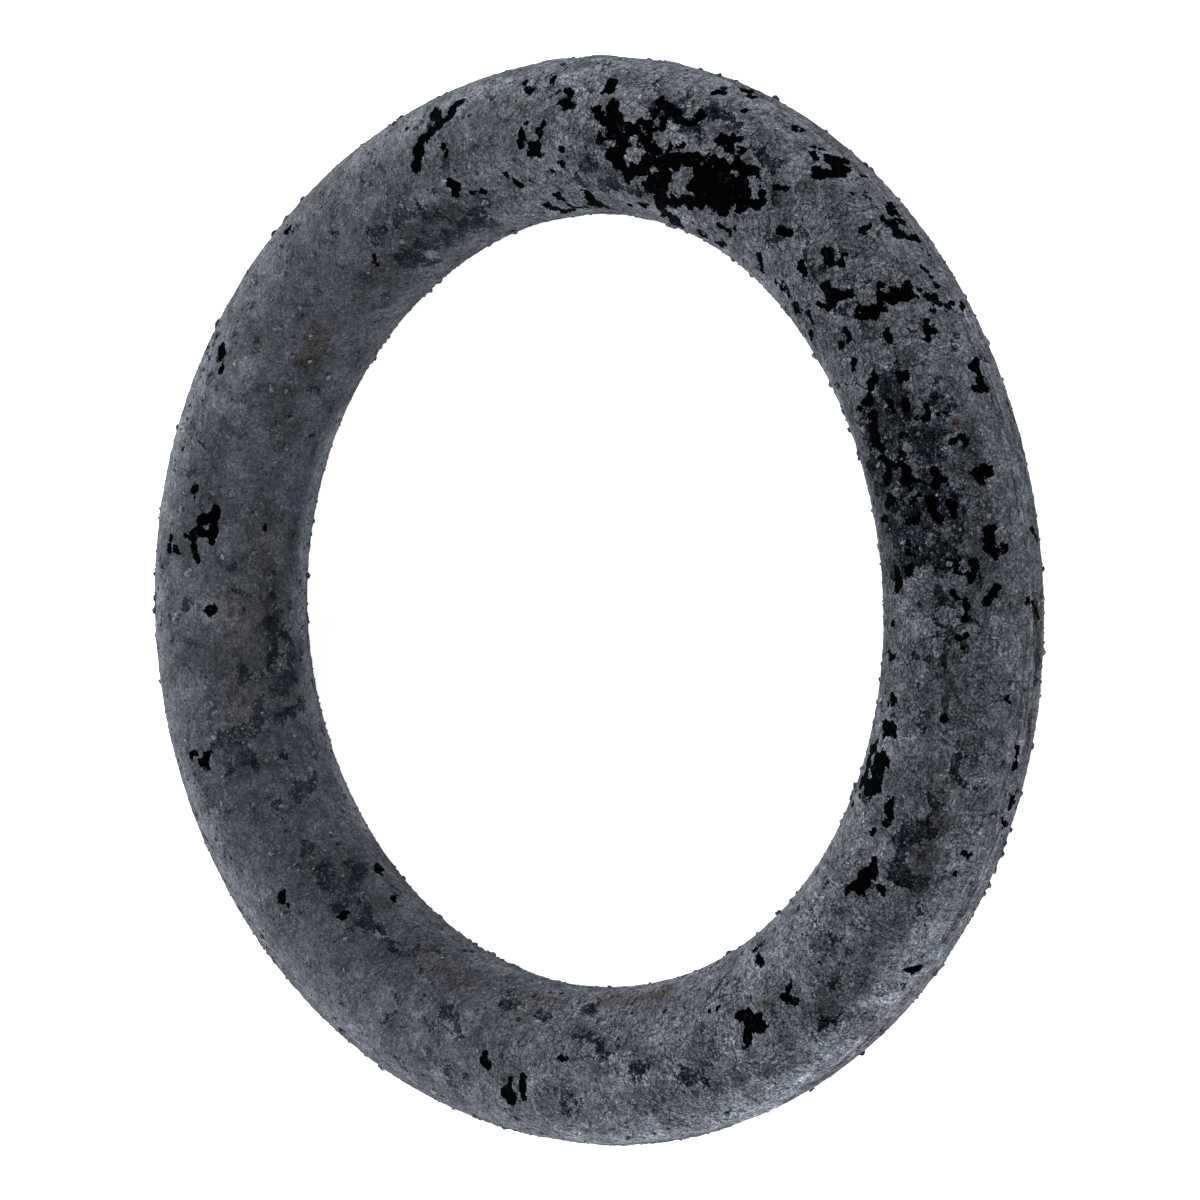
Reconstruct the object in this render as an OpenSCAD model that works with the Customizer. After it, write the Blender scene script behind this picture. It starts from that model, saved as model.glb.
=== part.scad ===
/* [Ring] */
// Inside diameter across the bare rubber, parting rib left out
inside_d = 20; // [6:0.5:80]
// Diameter of the round section
section_d = 4; // [1.5:0.1:7]

/* [Parting rib] */
// How far the moulded rib stands proud of the round section
rib_h = 0.06; // [0.02:0.01:0.15]
// Thickness of the rib along the ring's axis, crest fully rounded
rib_w = 0.14; // [0.06:0.01:0.3]

/* [Hidden] */

// Facets asked for on each circle; the section and the sweep are true circles
$fn = 96;

section_r = section_d / 2;
// Radius of the circle that the middle of the section follows
centreline_r = inside_d / 2 + section_r;
crest_r = rib_w / 2;

// Rib profile on the +X side of the section: a stem rooted inside the rubber,
// closed by a round crest
module rib_profile() {
    crest_x = section_r + rib_h - crest_r;
    root_x = section_r - rib_w;
    translate([root_x, -crest_r]) square([crest_x - root_x, rib_w]);
    translate([crest_x, 0]) circle(r = crest_r);
}

// Moulded section: a full round with one rib at the outer diameter and one at
// the inner, where the two mould halves meet on the ring's mid plane
module section_profile() {
    circle(r = section_r);
    rib_profile();
    mirror([1, 0]) rib_profile();
}

// The whole ring, lying flat with its lowest circle on z = 0
module o_ring() {
    color([0.27, 0.29, 0.31])
        translate([0, 0, section_r])
            rotate_extrude()
                translate([centreline_r, 0]) section_profile();
}

o_ring();
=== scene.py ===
import math

import bpy
import numpy as np
from mathutils import Matrix, Vector, noise


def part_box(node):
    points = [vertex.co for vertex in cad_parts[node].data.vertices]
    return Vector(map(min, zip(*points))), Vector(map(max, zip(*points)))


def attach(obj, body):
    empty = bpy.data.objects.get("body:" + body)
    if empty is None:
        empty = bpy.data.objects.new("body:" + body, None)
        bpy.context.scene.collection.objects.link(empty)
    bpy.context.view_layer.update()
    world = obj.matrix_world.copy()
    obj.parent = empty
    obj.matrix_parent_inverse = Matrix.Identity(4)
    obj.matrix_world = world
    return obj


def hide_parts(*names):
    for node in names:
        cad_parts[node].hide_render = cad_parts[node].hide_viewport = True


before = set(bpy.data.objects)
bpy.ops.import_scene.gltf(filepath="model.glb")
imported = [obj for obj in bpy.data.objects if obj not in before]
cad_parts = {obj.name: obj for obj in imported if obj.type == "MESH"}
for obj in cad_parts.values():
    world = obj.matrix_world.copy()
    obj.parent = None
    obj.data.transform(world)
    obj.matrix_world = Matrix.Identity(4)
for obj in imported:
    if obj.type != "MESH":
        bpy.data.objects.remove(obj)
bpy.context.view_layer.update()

# Everything below is worked out in millimetres and scaled to metres when a mesh is made
MM = 0.001

# The bare rubber ring, as the frame has it
ring_low, ring_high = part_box("o_ring")
RIB_H = 0.06
RIB_W = 0.14
SECTION_R = (ring_high.z - ring_low.z) / MM / 2
RING_R = (ring_high.x - ring_low.x) / MM / 2 - RIB_H - SECTION_R

# Points round the section and steps round the ring, crowded where the parting rib needs them
SECTION_POINTS = 144
RING_STEPS = 690
RIB_CROWDING = 0.3
RIB_REACH = 0.15

# The ring has taken a slight set out of round: lobes round it, cosine and sine share in mm
OUT_OF_ROUND = ((3, 0.03, -0.10), (4, -0.005, -0.02))

# Relief of the bloom in mm: its mean thickness, its pebbles, lumps and grains, and
# how far a thick plate stands up
BLOOM_T = 0.016
PEBBLE_SIZE = 0.26
PEBBLE_H = 0.022
LUMP_SIZE = 0.9
LUMP_H = 0.009
GRAIN_SIZE = 0.13
GRAIN_H = 0.012
PLATE_H = 0.03
LEAST_BLOOM = 0.003

# How much of the moulded rib shows through the bloom: on the whole, how unevenly, and at least
RIB_SHOWS = 0.45
RIB_UNEVEN = 0.6
RIB_LEAST = 0.1

# How far from a bare patch its distance is still told, in mm
FIELD_REACH = 0.5

# How much the bloom's tone and its thinness wander by themselves, with the size in mm
# and the shift of each noise
CLOUD_SWING = 0.12
CLOUD_NOISE = ((1.5, 71), (4, 90))
MOTTLE = 0.12
MOTTLE_NOISE = ((2.5, 33), (0.9, 56))

# Fine streaks run along the ring beside the parting rib, most of them just below it
STREAKS_DOWN = 0.1
STREAKS_REACH = 0.5

# The bloom is crustiest on the near side and smoother on the far side, down to this share
SMOOTHEST = 0.5

# Places on the ring are given by two angles in degrees. The ring angle goes round
# the ring from +X, anticlockwise from above. The tube angle goes round the section:
# 0 is the outer equator, 90 the top, 180 the inner equator and -90 the underside.

# Where the bloom has flaked off down to black rubber: strokes from one place to
# another, with half the stroke's width in mm. At zero or below it is a hairline crack,
# open only in places.
BARE = (
    # ring angle 0 to 60
    (0, 163, 0.9, 151, 0.10), (0, 57, 1.5, 47, 0.09), (0.4, 98, 1.4, 88, 0.05),
    (0.8, 85, 0.2, 93, 0.05), (1.3, 87, 0.2, 81, 0.06), (3, 127, 4.2, 116, 0.05),
    (8.8, 125, 10.6, 123, 0.04), (12.2, 60, 10.9, 49, 0.12), (12.8, 88, 12.9, 81, 0.07),
    (13.1, 119, 13.3, 110, 0.13), (13.6, 60, 14.8, 51, 0.16), (14.2, 65, 12.4, 60, 0.11),
    (16.2, 71, 14.2, 65, 0.14), (16.9, 78, 16.2, 71, 0.20), (17.6, 89, 17.4, 80, 0.08),
    (29.6, 123, 30.6, 126, 0.04), (31.3, 132, 31.9, 130, 0.06), (38.8, 62, 40.3, 54, 0.07),
    (56.2, 71, 57.4, 74, 0.13), (57.4, 76, 58.4, 83, 0.05),
    # ring angle 60 to 120
    (69, 70, 69.6, 67, 0.05), (73.2, 94, 74.8, 91, 0.06), (75.6, 114, 79.6, 113, 0.10),
    (76.8, 108, 77.2, 104, 0.15), (77.5, 101, 79, 99, 0.07), (79.3, 110, 79.3, 102, 0.09),
    (79.5, 98, 82.6, 102, 0.06), (79.7, 98, 79.9, 90, 0.07), (80.2, 74, 81.5, 73, 0.07),
    (81.9, 84, 82.2, 76, 0.05), (89, 116, 89.1, 113, 0.13), (107, 82, 106.5, 77, 0.08),
    (107.6, 91, 108.3, 87, 0.11), (108.3, 88, 109.6, 90, 0.03),
    # ring angle 120 to 180
    (128.8, 102, 129.2, 98, 0.06), (129.2, 98, 130.5, 97, 0.09), (132.6, 178, 133.3, 174, 0.09),
    (136, 112, 136.1, 110, 0.04), (137.1, 127, 137.6, 124, 0.06), (138.5, 170, 139.5, 165, 0.05),
    (167.8, 88, 168.9, 87, 0.08), (168.3, 95, 168.3, 89, 0.05), (171.6, 69, 172.1, 65, 0.18),
    (174.4, 82, 173.8, 67, 0.09), (179.6, 102, 180.8, 97, 0.07),
    # ring angle 180 to 240
    (205.5, 103, 206.2, 103, 0.07), (209.3, 88, 210.2, 86, 0.14), (209.4, 76, 207.7, 68, 0.10),
    (209.8, 84, 210.2, 78, 0.17), (210.6, 79, 210.8, 72, 0.15), (210.8, 82, 212, 81, 0.06),
    (214.7, 128, 215.6, 128, 0.08), (214.8, 117, 214.9, 113, 0.12), (215, 124, 214.9, 113, 0.05),
    (215.8, 77, 217.3, 81, 0.09), (216.2, 76, 216.3, 70, 0.08), (226.9, 22, 227.2, 16, 0.06),
    (227.2, 15, 227.7, 10, 0.07), (230.5, 91, 232, 92.5, 0.04), (231.5, 92, 232.8, 88, 0.08),
    (232.8, 84, 234.8, 84, 0.17), (234.6, 77, 234.3, 68, 0.03), (235.4, 80, 237, 84, 0.10),
    (239.1, 25, 238.6, 20, 0.03), (239.5, 95, 239.7, 93, 0.04),
    # ring angle 240 to 270
    (241.6, 86, 243.2, 87, 0.06), (241.7, 25, 241.5, 18, 0.04), (242.3, 119, 244, 116, 0.07),
    (243.2, 88, 244.6, 88, 0.12), (243.6, 112, 245, 104, 0.16), (243.8, 126, 246.6, 126, 0.14),
    (244.2, 118, 247, 112, 0.20), (245, -5, 244.9, -12, 0.04), (245.6, 106, 248.6, 110, 0.15),
    (245.7, -1, 246.6, -9, 0.05), (246.6, -9, 247.6, -11, 0.06), (247, 110, 248.6, 108, 0.17),
    (247.4, 127, 248.6, 131, 0.07), (247.6, -10, 248.3, -4, 0.04), (248, 126, 249.5, 121, 0.10),
    (248.4, 104, 248.4, 102, 0.09), (248.6, 118, 248.9, 110, 0.05), (251.2, -2, 253.2, -2, 0.07),
    (252, 113, 252.8, 112, 0.09), (252.5, 112, 252.5, 103, 0.14), (253, -3, 252, -3, 0.04),
    (255.3, 64, 256.5, 63, 0.04), (255.6, 111, 256.4, 108, 0.07), (258, 23, 258.4, 18, 0.04),
    (261.2, 117, 262.5, 119, 0.03), (261.4, 116, 261.5, 112, 0.07), (262.6, 54, 263.4, 54, 0.07),
    (264.5, 58, 264.9, 52, 0.06), (265.8, 117, 266, 115, 0.05), (266.6, 54, 268, 52, 0.08),
    (267.6, -10, 266.2, -20, 0.02), (268.6, 37, 270.2, 30, 0.09), (268.8, 1, 267.6, -10, 0.07),
    (269.9, 62, 269.3, 60, 0.04),
    # ring angle 270 to 300
    (270, 113, 270.6, 107, 0.06), (270.6, 106, 273, 107, 0.07), (271, 48, 272.4, 44, 0.11),
    (271.7, 58, 271.1, 63, 0.06), (272.4, 96, 273, 92, 0.08), (273.4, 61, 273.2, 58, 0.06),
    (273.6, 29, 274.6, 33, 0.13), (274, 26, 274.2, 17, 0.06), (274.4, 92.5, 276.2, 92, 0.05),
    (274.6, 31, 276.1, 31, 0.12), (275.9, -11, 275.2, -20, 0.05), (276.1, 79, 276.2, 76, 0.04),
    (278, 54, 279.6, 57, 0.08), (278.2, 90, 278.6, 82, 0.08), (279.5, 116, 279.6, 113, 0.07),
    (280.4, 72, 277.9, 68, 0.13), (280.6, 83, 281, 80, 0.05), (281.2, 108, 281.8, 104, 0.13),
    (281.6, 99, 282.6, 98, 0.04), (281.6, 64, 282.2, 62, 0.12), (281.6, 32, 282.4, 32, 0.10),
    (282.2, 33, 282.2, 24, 0.16), (282.9, 74, 282.3, 74, 0.05), (283, 86, 284.4, 84, 0.14),
    (283.6, 63, 281.8, 57, 0.10), (284, 103, 285.8, 98, 0.13), (285.2, 91, 285.5, 88, 0.07),
    (285.6, 38, 287, 39, 0.07), (286, 99, 288.4, 102, 0.12), (286.3, 44, 286.4, 40, 0.08),
    (286.3, 84, 286.4, 86, 0.07), (288.5, 79, 288.7, 77, 0.05), (288.8, 105, 291.2, 102, 0.15),
    (289.4, 57, 290.4, 55, 0.07), (289.4, 48, 289.6, 46, 0.05), (289.8, 64, 289.6, 58, 0.07),
    (291.2, 16, 291, 6, 0.06), (291.4, 10, 293.8, 8, 0.13), (291.8, 100, 292.6, 98, 0.12),
    (292.1, 69, 291.3, 74, 0.08), (292.8, 81, 291.9, 80, 0.08), (293.6, 12, 293.9, 4, 0.07),
    (294.1, 108, 294.6, 101, 0.05), (294.2, 98, 296.2, 87, 0.13), (295, 66, 294.5, 62, 0.06),
    (297.9, 40, 298.6, 33, 0.08), (298.5, 33, 299.4, 31, 0.08), (298.5, 62, 300.2, 63, 0.05),
    (299.2, 98, 299.6, 95, 0.06),
    # ring angle 300 to 330
    (300.4, -6, 301.5, -11, 0.08), (301.1, 16, 300.8, 4, 0.06), (301.9, 23, 301.6, 16, 0.10),
    (302, 91, 303.4, 90, 0.05), (302.3, 99, 302, 92, 0.07), (302.4, 64, 304, 62, 0.10),
    (302.6, 30, 302.8, 28, 0.06), (303.2, 58, 304.2, 55, 0.12), (303.2, 10, 304.2, 10, 0.07),
    (303.3, 73, 304.6, 75, 0.09), (303.6, 42, 303.3, 34, 0.17), (303.8, 72, 304, 67, 0.07),
    (304, 36, 304.3, 32, 0.08), (304.2, 54, 303.6, 46, 0.17), (304.5, 10, 305.5, 12, 0.03),
    (305.1, 50, 304.8, 45, 0.08), (306.7, 127, 307.4, 122, 0.05), (307, 121, 307.4, 123, 0.06),
    (307.2, 87, 309.3, 84, 0.13), (307.4, 94, 308.6, 98, 0.05), (307.6, 84, 306.6, 72, 0.09),
    (308, 115, 308.8, 113, 0.10), (310, 18, 309.3, 3, 0.10), (310.2, 16, 312.2, 17, 0.09),
    (310.4, 66, 310.9, 62, 0.08), (311, 121, 311.4, 119, 0.09), (311.4, 71, 312.4, 68, 0.13),
    (311.5, 91, 311.7, 91, 0.03), (311.8, 13, 313.5, 4, 0.12), (312.2, 40, 311.9, 32, 0.07),
    (312.3, 91, 313.8, 91, 0.07), (312.4, 3, 311.4, 6, 0.06), (313.8, 118, 315, 118, 0.12),
    (314.2, 118, 315.8, 119, 0.10), (317.6, 81, 318.7, 86, 0.10), (319.2, 124, 319.8, 116, 0.08),
    (319.6, 24, 319.7, 12, 0.13), (320.3, 35, 319.6, 24, 0.14), (320.7, 15, 320.3, 22, 0.12),
    (320.9, 37, 321.5, 36, 0.06), (321.7, 19, 320.9, 9, 0.13), (322.5, 27, 325, 27, 0.03),
    (326.8, 133, 328.8, 142, 0.05),
    # ring angle 330 to 360
    (331, 139, 332.4, 147, 0.10), (332.8, 31, 333.1, 27, 0.05), (334.6, 11, 336, 4, 0.11),
    (335.4, 5, 336, -1, 0.08), (336.6, 24, 337.8, 18, 0.05), (337.6, 29, 337, 22, 0.05),
    (341.3, 137, 342.6, 139, 0.04), (342.6, 140, 344, 138, 0.06), (344.8, 142, 345.8, 145, 0.06),
    (351, 153, 353.2, 151, 0.08), (352.2, 148, 352.2, 138, 0.15), (353.3, 68, 354.6, 66, 0.12),
    (354.2, 62, 354.9, 56, 0.09), (354.3, 101, 355.1, 99, 0.04), (354.7, 113, 354.9, 112, 0.04),
    (354.8, 157, 359.6, 163, 0.06),
    (355, 66, 356.4, 65, 0.06), (356.2, 119, 357.1, 119, 0.05), (356.4, 62, 355.9, 67, 0.06),
    (357.5, 105, 359.9, 103, 0.06), (357.5, 82, 357.5, 94, 0.04), (357.6, 152, 357.8, 140, 0.08),
    (357.6, 52, 358.1, 40, 0.05), (357.7, 100, 358.2, 84, 0.07), (358.2, 96, 359.8, 94, 0.05),
    # the large bare area on top, ring angle 320 to 350
    (321.6, 62, 323, 65, 0.05), (323.2, 84, 324.6, 86, 0.12), (323.2, 80, 323.6, 74, 0.10),
    (325, 96, 325.2, 86, 0.10), (325, 113, 325.2, 106, 0.02), (325.6, 84, 329, 98, 0.20),
    (326, 118, 328.6, 119, 0.05), (326.2, 66, 327.8, 70, 0.13), (326.6, 82, 331, 84, 0.22),
    (327.6, 101, 331.4, 106, 0.20), (328.6, 68, 329.6, 64, 0.11), (329.4, 77, 331.6, 77, 0.13),
    (330, 96, 332.6, 96, 0.36), (330.4, 62, 332.6, 58, 0.14), (330.4, 54, 329.1, 61, 0.05),
    (331, 55, 332.8, 63, 0.10), (331.4, 84, 333.6, 82, 0.20), (332, 112, 336, 118, 0.18),
    (333.4, 84, 336.6, 86, 0.16), (336.2, 58, 336.4, 53, 0.06), (336.4, 52, 337, 47, 0.08),
    (336.5, 122, 339, 128, 0.15), (336.6, 90, 338, 94, 0.20), (337, 140, 336.6, 148, 0.14),
    (337.2, 105, 339.6, 112, 0.25), (337.2, 62, 339, 60, 0.05), (338, 118, 340.4, 118, 0.20),
    (338, 134, 337, 146, 0.12), (338, 82, 336.4, 79, 0.07), (338.2, 144, 337.6, 154, 0.14),
    (338.4, 124, 338.8, 142, 0.16), (338.6, 98, 341, 96, 0.15), (338.6, 60, 341.6, 54, 0.12),
    (340.2, 73, 340.2, 64, 0.08), (340.2, 84, 339.3, 90, 0.09), (341, 106, 343.4, 110, 0.16),
    (341.4, 88, 342.2, 84, 0.12), (341.6, 58, 342.2, 52, 0.08), (341.9, 71, 341.9, 64, 0.07),
    (342.6, 80, 346.4, 78, 0.12), (343.3, 71, 341.4, 78, 0.06), (343.9, 118, 344.5, 115, 0.10),
    (344.8, 108, 345.4, 97, 0.17), (344.8, 90, 346.6, 84, 0.16), (345.8, 104, 346.8, 100, 0.14),
    (346.8, 72, 348, 66, 0.16), (346.8, 80, 348.6, 66, 0.13), (347.4, 90, 348.2, 86, 0.05),
    (348, 78, 349.6, 74, 0.07), (348.2, 93, 346.2, 92, 0.12), (349, 66, 350.2, 70, 0.06),
    (349.1, 52, 349.6, 46, 0.12), (349.8, 52, 350.4, 56, 0.06),
    # a small crack that closes on itself like a ring
    (326.7, 19, 327.9, 18, -0.02), (327.9, 18, 327.8, 10, -0.02), (327.8, 10, 326.9, 11, -0.02),
    (326.7, 12, 326.6, 18, -0.02),
    # hairline cracks
    (76.7, 153, 77.4, 153, 0.0), (172.1, 75, 172.3, 79, 0.0), (290.4, -16, 287.4, -26, -0.01),
    (301.4, 22, 300, 26, 0.0), (305.2, 10, 303.2, 6, 0.0), (306.4, 14, 305.2, 13, -0.01),
    (306.4, 28, 304.8, 28, -0.02), (307.5, 2, 304.8, -4, -0.01), (310, 12, 307.5, 2, -0.02),
    (315.8, 16, 314.8, 16, 0.0), (316.8, 28, 315.8, 16, -0.01), (319.4, 10, 318.2, 3, -0.02),
    (324.6, 26, 322.8, 14, -0.01),
)

# Islands of bloom left standing in the bare patches, in the same form
ISLANDS = (
    (78.4, 107, 78.4, 104, 0.06), (209.6, 83, 209.7, 82, 0.03), (243.3, 114, 243.4, 112, 0.05),
    (245.4, 119, 245.6, 117, 0.07), (292.4, 14, 292.6, 12, 0.04), (293.9, 9, 294, 8, 0.03),
    (334.8, 99, 335.5, 108, 0.31), (337.2, 136, 338, 132, 0.05), (342, 88, 344.2, 86, 0.10),
    (343, 100, 343.6, 94, 0.13), (346.6, 92, 347.4, 94, 0.06), (348.8, 74, 349.2, 70, 0.04),
)

# Thin bloom that lets the dark rubber show through, as soft strokes with a strength
THIN = (
    (11, 142, 28, 146, 0.36, 0.6), (12, 155, 14, 150, 0.20, 0.7), (18, 154, 21, 157, 0.14, 0.6),
    (20, 115, 27, 114, 0.20, 0.6), (25, 164, 26, 154, 0.20, 0.8), (33, 133, 35, 133, 0.12, 0.5),
    (35.4, 160, 35.4, 153, 0.09, 0.6), (37, 95, 40, 95, 0.24, 0.25),
    (68, 86, 68.4, 97, 0.06, 0.8), (71.4, 88, 72.6, 82, 0.07, 0.8), (74, 68, 74.6, 66, 0.07, 0.7),
    (83, 132, 83.2, 130, 0.08, 0.6), (83.2, 130, 83.4, 127, 0.06, 0.9),
    (86, 128, 87.4, 145, 0.05, 0.8), (86.8, 141, 86.6, 124, 0.10, 0.6),
    (87.6, 94, 88.8, 92, 0.10, 0.6), (88, 163, 100, 161, 0.26, 0.6),
    (92, 172, 96, 176, 0.20, 0.5), (97.6, 134, 98.8, 135, 0.14, 0.7),
    (99, 172, 101, 168, 0.26, 0.7), (102, 145, 106, 139, 0.14, 0.6),
    (104.6, 174, 105.6, 152, 0.24, 0.7), (107, 105, 111, 122, 0.30, 0.5),
    (110.8, 155, 111.2, 150, 0.14, 0.7), (115, 168, 117.6, 147, 0.16, 0.7),
    (116.5, 132, 118.4, 128, 0.14, 0.6), (122, 130, 126, 134, 0.20, 0.6),
    (129.6, 136, 136, 132, 0.28, 0.65), (131, 160, 134, 148, 0.26, 0.55),
    (138, 138, 146, 134, 0.26, 0.55), (144, 95, 152, 84, 0.30, 0.2),
    (146, 132, 155, 138, 0.20, 0.5), (148, 138, 153, 132, 0.24, 0.5),
    (156, 90, 157, 86, 0.12, 0.5), (160, 114, 163, 110, 0.26, 0.4),
    (166, 134, 170, 136, 0.20, 0.4), (173, 138, 176, 129, 0.14, 0.5),
    (180, 64, 184, 64, 0.20, 0.35), (182, 142, 183.6, 134, 0.16, 0.5),
    (183, 112, 188, 106, 0.34, 0.5), (191.6, 82, 191.6, 70, 0.20, 0.4),
    (194.6, 87, 197, 86, 0.14, 0.5), (197, 68, 200, 66, 0.24, 0.4), (213, 44, 221, 50, 0.36, 0.3),
    (222, 20, 224.6, 16, 0.22, 0.4), (225.6, 80, 227, 75, 0.18, 0.4),
    (236.6, 62, 241.5, 70, 0.30, 0.6), (243, 50, 249, 50, 0.24, 0.45),
    (246.6, 62, 245.4, 50, 0.10, 0.6), (249, 40, 249, 24, 0.14, 0.5),
    (249.8, -17, 249.9, -24, 0.07, 0.7), (251.4, 52, 249.6, 47, 0.14, 0.6),
    (253.6, -15, 256.8, -12, 0.10, 0.9), (254.2, 76, 251.5, 78, 0.10, 0.6),
    (257.8, 64, 255.5, 62, 0.06, 0.9), (259, 89, 258.6, 86, 0.06, 0.8),
    (259.8, 41, 259.8, 38, 0.05, 0.8), (259.8, -11, 260.2, -18, 0.07, 0.8),
    (262, 91, 262, 88, 0.08, 0.7), (262, -14, 268, -8, 0.14, 0.7), (263, 56, 270, 52, 0.18, 0.2),
    (264, 68, 261, 64, 0.14, 0.35), (264.2, 54, 263.4, 51, 0.06, 0.8),
    (264.6, 76, 264.8, 73, 0.06, 0.9), (266, 58, 262, 80, 0.12, 0.35),
    (268.5, 88, 268.1, 85, 0.06, 0.8), (269.6, 70, 266, 76, 0.18, 0.50),
    (273, 104, 283, 104, 0.32, 0.75), (275, 88, 283, 88, 0.40, 0.75),
    (275, 70, 283, 68, 0.40, 0.6), (276, 55, 283, 58, 0.28, 0.55),
    (284, 117, 287, 115, 0.24, 0.6), (284, 92, 292, 96, 0.40, 1.0),
    (284, 110, 292, 112, 0.26, 0.75), (284, 70, 292, 69, 0.38, 0.65),
    (285, 62, 289, 59, 0.34, 0.8), (288, 52, 293, 40, 0.24, 0.5), (290, 78, 296, 74, 0.40, 0.85),
    (291, 40, 296, 46, 0.24, 0.35), (296, 84, 306, 80, 0.30, 0.3), (312, 80, 318, 78, 0.30, 0.45),
    (315, 52, 319, 54, 0.24, 0.4), (316, 100, 320, 98, 0.26, 0.3), (323, 54, 328, 51, 0.24, 0.5),
    (332, 46, 336, 45, 0.20, 0.4), (337, 62, 342, 58, 0.16, 0.8), (339, 56, 342, 57, 0.20, 0.9),
    (339.8, 48, 339.6, 38, 0.12, 0.8), (343, 124, 352, 126, 0.22, 0.5),
    (348, 106, 350.4, 112, 0.26, 0.6), (348, 98, 349, 90, 0.14, 0.6),
)

# Plates where the bloom lies thick and light, in the same form
THICK = (
    (24.6, 100, 25.2, 93, 0.10, 0.6), (53, 108, 55, 106, 0.16, 0.9),
    (78.2, 127, 79, 124, 0.12, 0.5), (99, 96, 99.6, 92, 0.14, 0.3),
    (146.2, 64, 147, 62, 0.14, 0.5), (161.2, 70, 161.4, 66, 0.12, 0.6),
    (184.4, 86, 184.8, 84, 0.08, 0.4), (199.2, 31, 199.6, 26, 0.12, 0.6),
    (205.2, 79, 206, 77, 0.12, 0.6), (226, 45, 227, 42, 0.14, 0.5),
    (233.4, 45, 233.8, 41, 0.12, 0.5), (245.8, -4, 246, -12, 0.06, 0.6),
    (261, -4, 263, -6, 0.14, 0.4), (274.2, -8, 275.4, -8, 0.10, 0.4),
    (276.1, 24, 276.6, 21, 0.08, 1.0), (300.4, 62, 301.4, 56, 0.16, 0.4),
    (309, 56, 310.6, 56, 0.14, 0.4), (316, 60, 317, 58, 0.12, 0.5),
    (318, 104, 319, 100, 0.10, 0.2), (333, 40, 333.6, 38, 0.08, 0.6),
    (334.6, 102, 335.8, 98, 0.12, 0.4), (340, 78, 341, 74, 0.16, 0.3),
    (343.2, 99, 343.4, 96, 0.10, 0.6), (345, 66, 346, 56, 0.26, 0.5),
    (348.6, 84, 350, 83, 0.16, 0.7), (351, 78, 352, 76, 0.16, 0.6),
    (353, 94, 353.4, 80, 0.30, 0.7),
)

# Brown stains and rusty dust, in the same form
STAINS = (
    (1, 68, 2, 64, 0.08, 0.6), (31, 132, 32.2, 132, 0.07, 0.8), (46, 136, 51, 138, 0.22, 0.5),
    (56, 137, 57, 135, 0.12, 0.5), (80, 150, 100, 152, 0.50, 0.15),
    (88, 132, 94, 134, 0.40, 0.25), (100, 130, 104, 126, 0.30, 0.3),
    (150, 146, 160, 142, 0.26, 0.35), (155.4, 145, 156, 144, 0.07, 0.8),
    (170, 148, 175, 146, 0.26, 0.4), (184, 148, 196, 142, 0.36, 0.4),
    (202, 24, 202.8, 22, 0.08, 0.6), (207.4, 46, 208, 44, 0.07, 1.0),
    (222, 129, 222.8, 127, 0.07, 0.9), (234.8, 3, 235.4, 7, 0.06, 1.0),
    (240, 52, 249, 51, 0.16, 0.3), (254, -14, 268, -13, 0.20, 0.4), (263, 55, 265, 56, 0.06, 0.8),
    (264.6, 1, 264.8, -2, 0.04, 1.0), (338, 46, 338.4, 44, 0.06, 0.8),
)

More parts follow.
